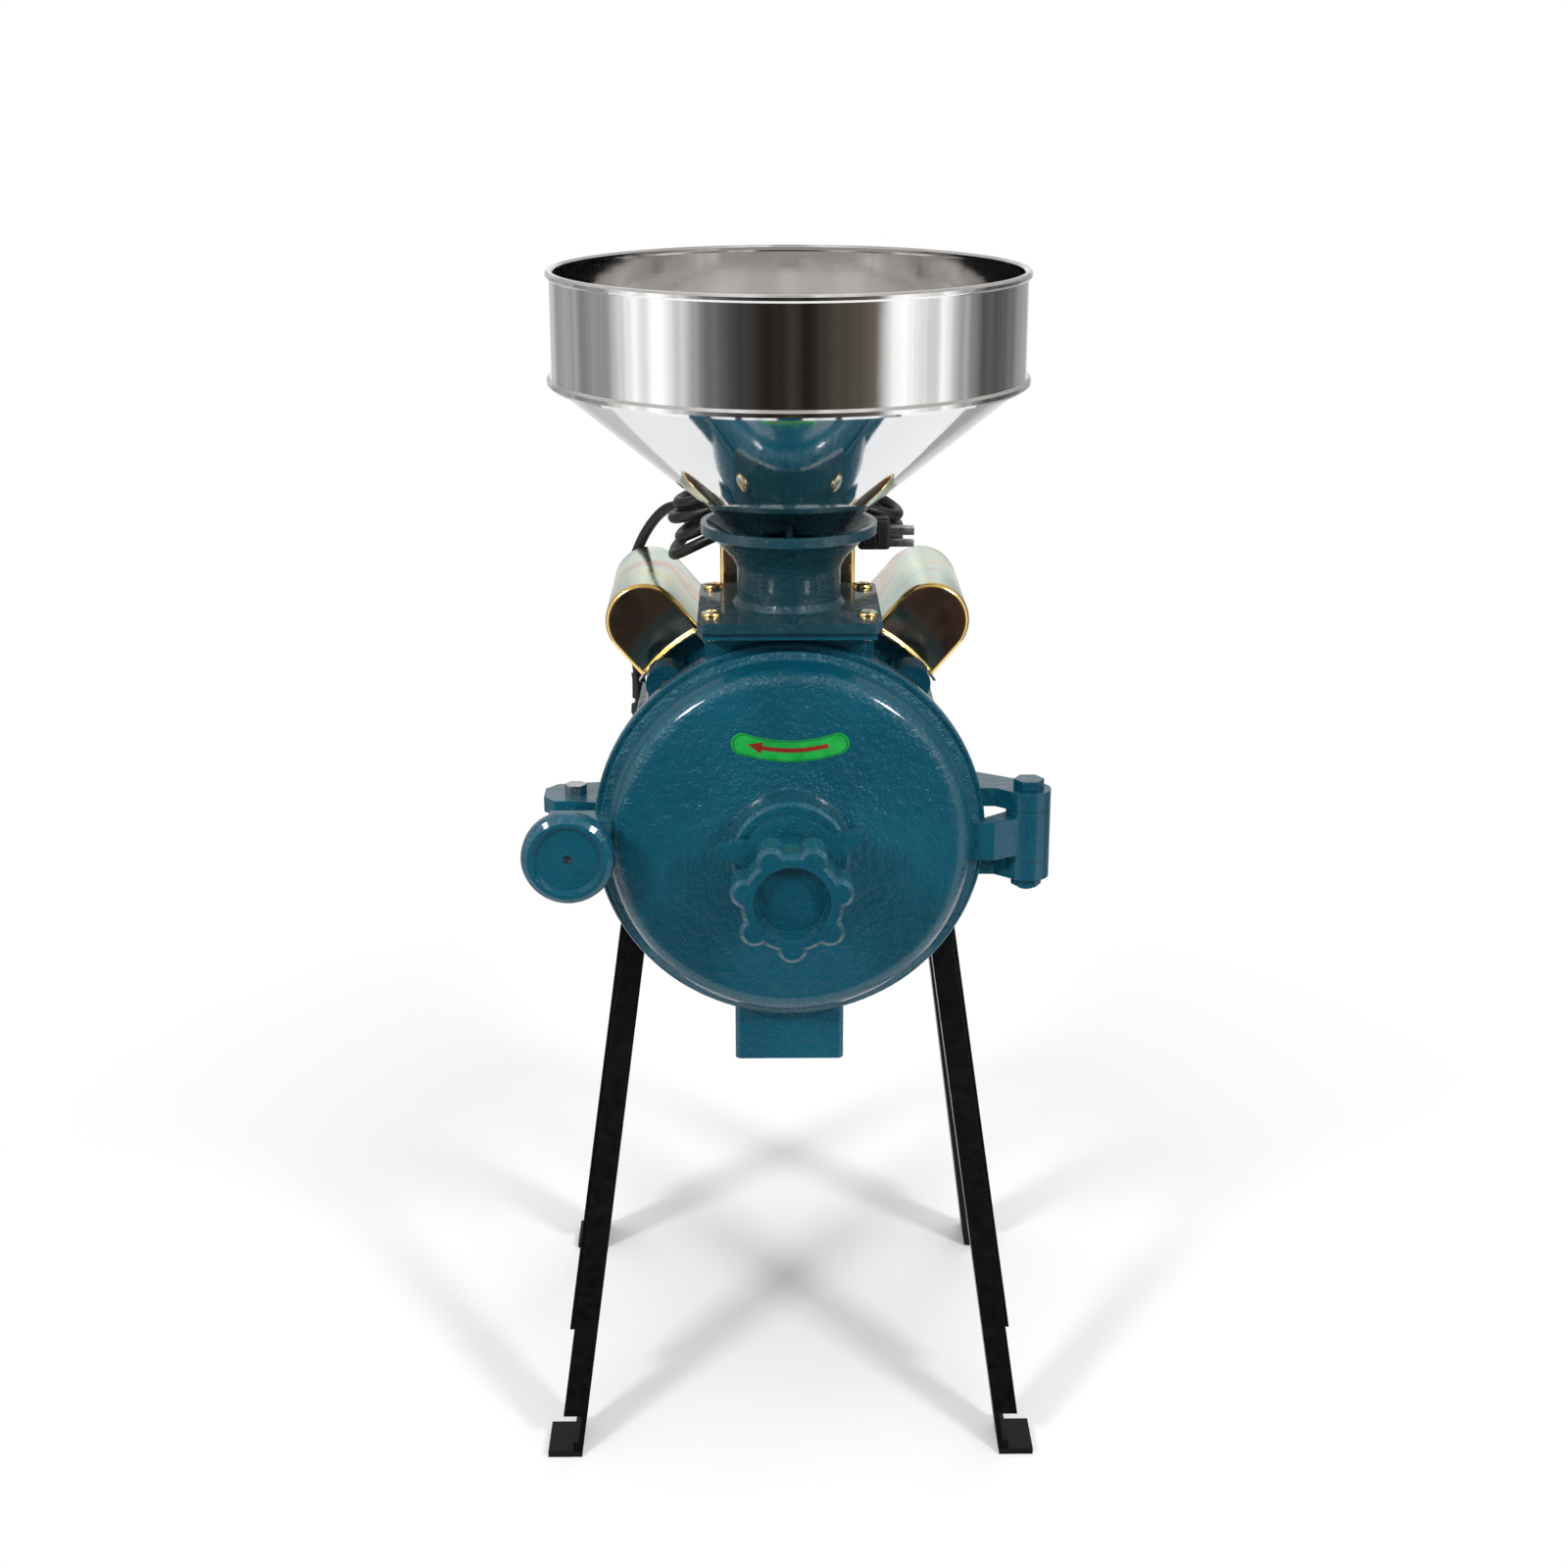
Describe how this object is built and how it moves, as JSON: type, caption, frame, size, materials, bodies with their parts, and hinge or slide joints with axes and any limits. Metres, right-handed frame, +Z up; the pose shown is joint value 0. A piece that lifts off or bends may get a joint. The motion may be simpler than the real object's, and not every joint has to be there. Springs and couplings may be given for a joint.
{
  "type": "electric grain mill",
  "caption": "Disc grain mill on four splayed angle legs, with a round steel hopper, hinged cast cover, star adjusting knob and a finned motor behind.",
  "frame": {"origin": "bottom centre of the mill's bounding box, on the floor under its feet", "axes": "+Z up, the cover and star knob face -Y, the hinge is on +X and the latch on -X"},
  "size_m": [0.316, 0.38, 0.718],
  "materials": {
    "polished_steel": "polished stainless sheet",
    "blue_paint": "glossy hammered teal paint on castings",
    "black_paint": "gloss black paint",
    "yellow_zinc": "iridescent yellow zinc plating",
    "zinc_screws": "zinc plated",
    "bright_steel": "machined steel",
    "core_steel": "stacked laminations",
    "cast_iron": "as cast",
    "copper_wire": "varnished copper wire",
    "black_rubber": "matt rubber",
    "black_plastic": "matt plastic",
    "green_label": "printed film"
  },
  "bodies": {
    "base": {"base_bolts": "bright_steel", "cable_gland": "black_plastic", "capacitor_cover_left": "yellow_zinc", "capacitor_cover_right": "yellow_zinc", "capacitor_left": "black_plastic", "capacitor_right": "black_plastic", "cord_hank": "black_rubber", "cord_lead": "black_rubber", "cord_tie": "black_plastic", "fan_cover": "blue_paint", "flange_bolts": "bright_steel", "front_bearing": "bright_steel", "front_end_shield": "blue_paint", "hinge_bolt": "blue_paint", "hinge_nut": "blue_paint", "hopper_set_screw": "blue_paint", "inlet_casting": "blue_paint", "inlet_screws": "zinc_screws", "latch_pin": "bright_steel", "leg_bolts": "bright_steel", "leg_front_left": "black_paint", "leg_front_right": "black_paint", "leg_rear_left": "black_paint", "leg_rear_right": "black_paint", "mains_plug": "black_plastic", "mill_housing": "blue_paint", "motor_base": "black_paint", "motor_body": "blue_paint", "rear_bearing": "bright_steel", "rear_end_shield": "blue_paint", "shaft_seal": "black_rubber", "stator_core": "core_steel", "stator_windings": "copper_wire", "terminal_block": "black_plastic", "terminal_box": "yellow_zinc"},
    "hopper": {"hopper": "polished_steel"},
    "cover": {"cover": "blue_paint", "direction_label": "green_label"},
    "disc_slide": {"disc_carrier": "cast_iron", "fixed_disc": "cast_iron", "fixed_disc_screws": "bright_steel"},
    "adjuster": {"star_knob": "blue_paint", "adjusting_spindle": "bright_steel"},
    "lock_nut": {"lock_nut": "blue_paint"},
    "rotor": {"motor_shaft": "bright_steel", "rotor_core": "core_steel", "cooling_fan": "black_plastic", "feed_auger": "cast_iron", "turning_disc": "cast_iron", "disc_spider": "cast_iron", "disc_nut": "bright_steel"},
    "latch_arm": {"latch_eye_bolt": "bright_steel"},
    "latch_washer": {"latch_washer": "bright_steel"},
    "latch_knob": {"latch_knob": "blue_paint"}
  },
  "joints": [
    {"name": "hopper_lift", "type": "slide", "parent": "base", "child": "hopper", "axis": [0, 0, 1], "range_m": [0, 0.06]},
    {"name": "cover_hinge", "type": "hinge", "parent": "base", "child": "cover", "pos_m": [0.1445, -0.059, 0.384], "axis": [0, 0, 1], "range_deg": [0, 110]},
    {"name": "gap_travel", "type": "slide", "parent": "cover", "child": "disc_slide", "axis": [0, -1, 0], "range_m": [0, 0.00299]},
    {"name": "star_knob_turn", "type": "hinge", "parent": "disc_slide", "child": "adjuster", "pos_m": [0, -0.15, 0.386], "axis": [0, -1, 0], "range_deg": [0, 720]},
    {"name": "lock_nut_turn", "type": "hinge", "parent": "cover", "child": "lock_nut", "pos_m": [0, -0.12, 0.386], "axis": [0, -1, 0], "range_deg": [0, 90]},
    {"name": "rotor_spin", "type": "hinge", "parent": "base", "child": "rotor", "pos_m": [0, 0, 0.386], "axis": [0, -1, 0], "continuous": true},
    {"name": "latch_swing", "type": "hinge", "parent": "base", "child": "latch_arm", "pos_m": [-0.1305, -0.035, 0.386], "axis": [0, 0, -1], "range_deg": [0, 95]},
    {"name": "latch_knob_travel", "type": "slide", "parent": "latch_arm", "child": "latch_washer", "axis": [0, -1, 0], "range_m": [0, 0.006]},
    {"name": "latch_knob_turn", "type": "hinge", "parent": "latch_washer", "child": "latch_knob", "pos_m": [-0.1305, -0.11, 0.386], "axis": [0, -1, 0], "range_deg": [0, 1436]}
  ],
  "couplings": [
    {"joint": "star_knob_turn", "follows": "gap_travel", "rad_per_m": 4188.8},
    {"joint": "latch_knob_travel", "follows": "latch_knob_turn", "m_per_rad": 0.00023873}
  ]
}
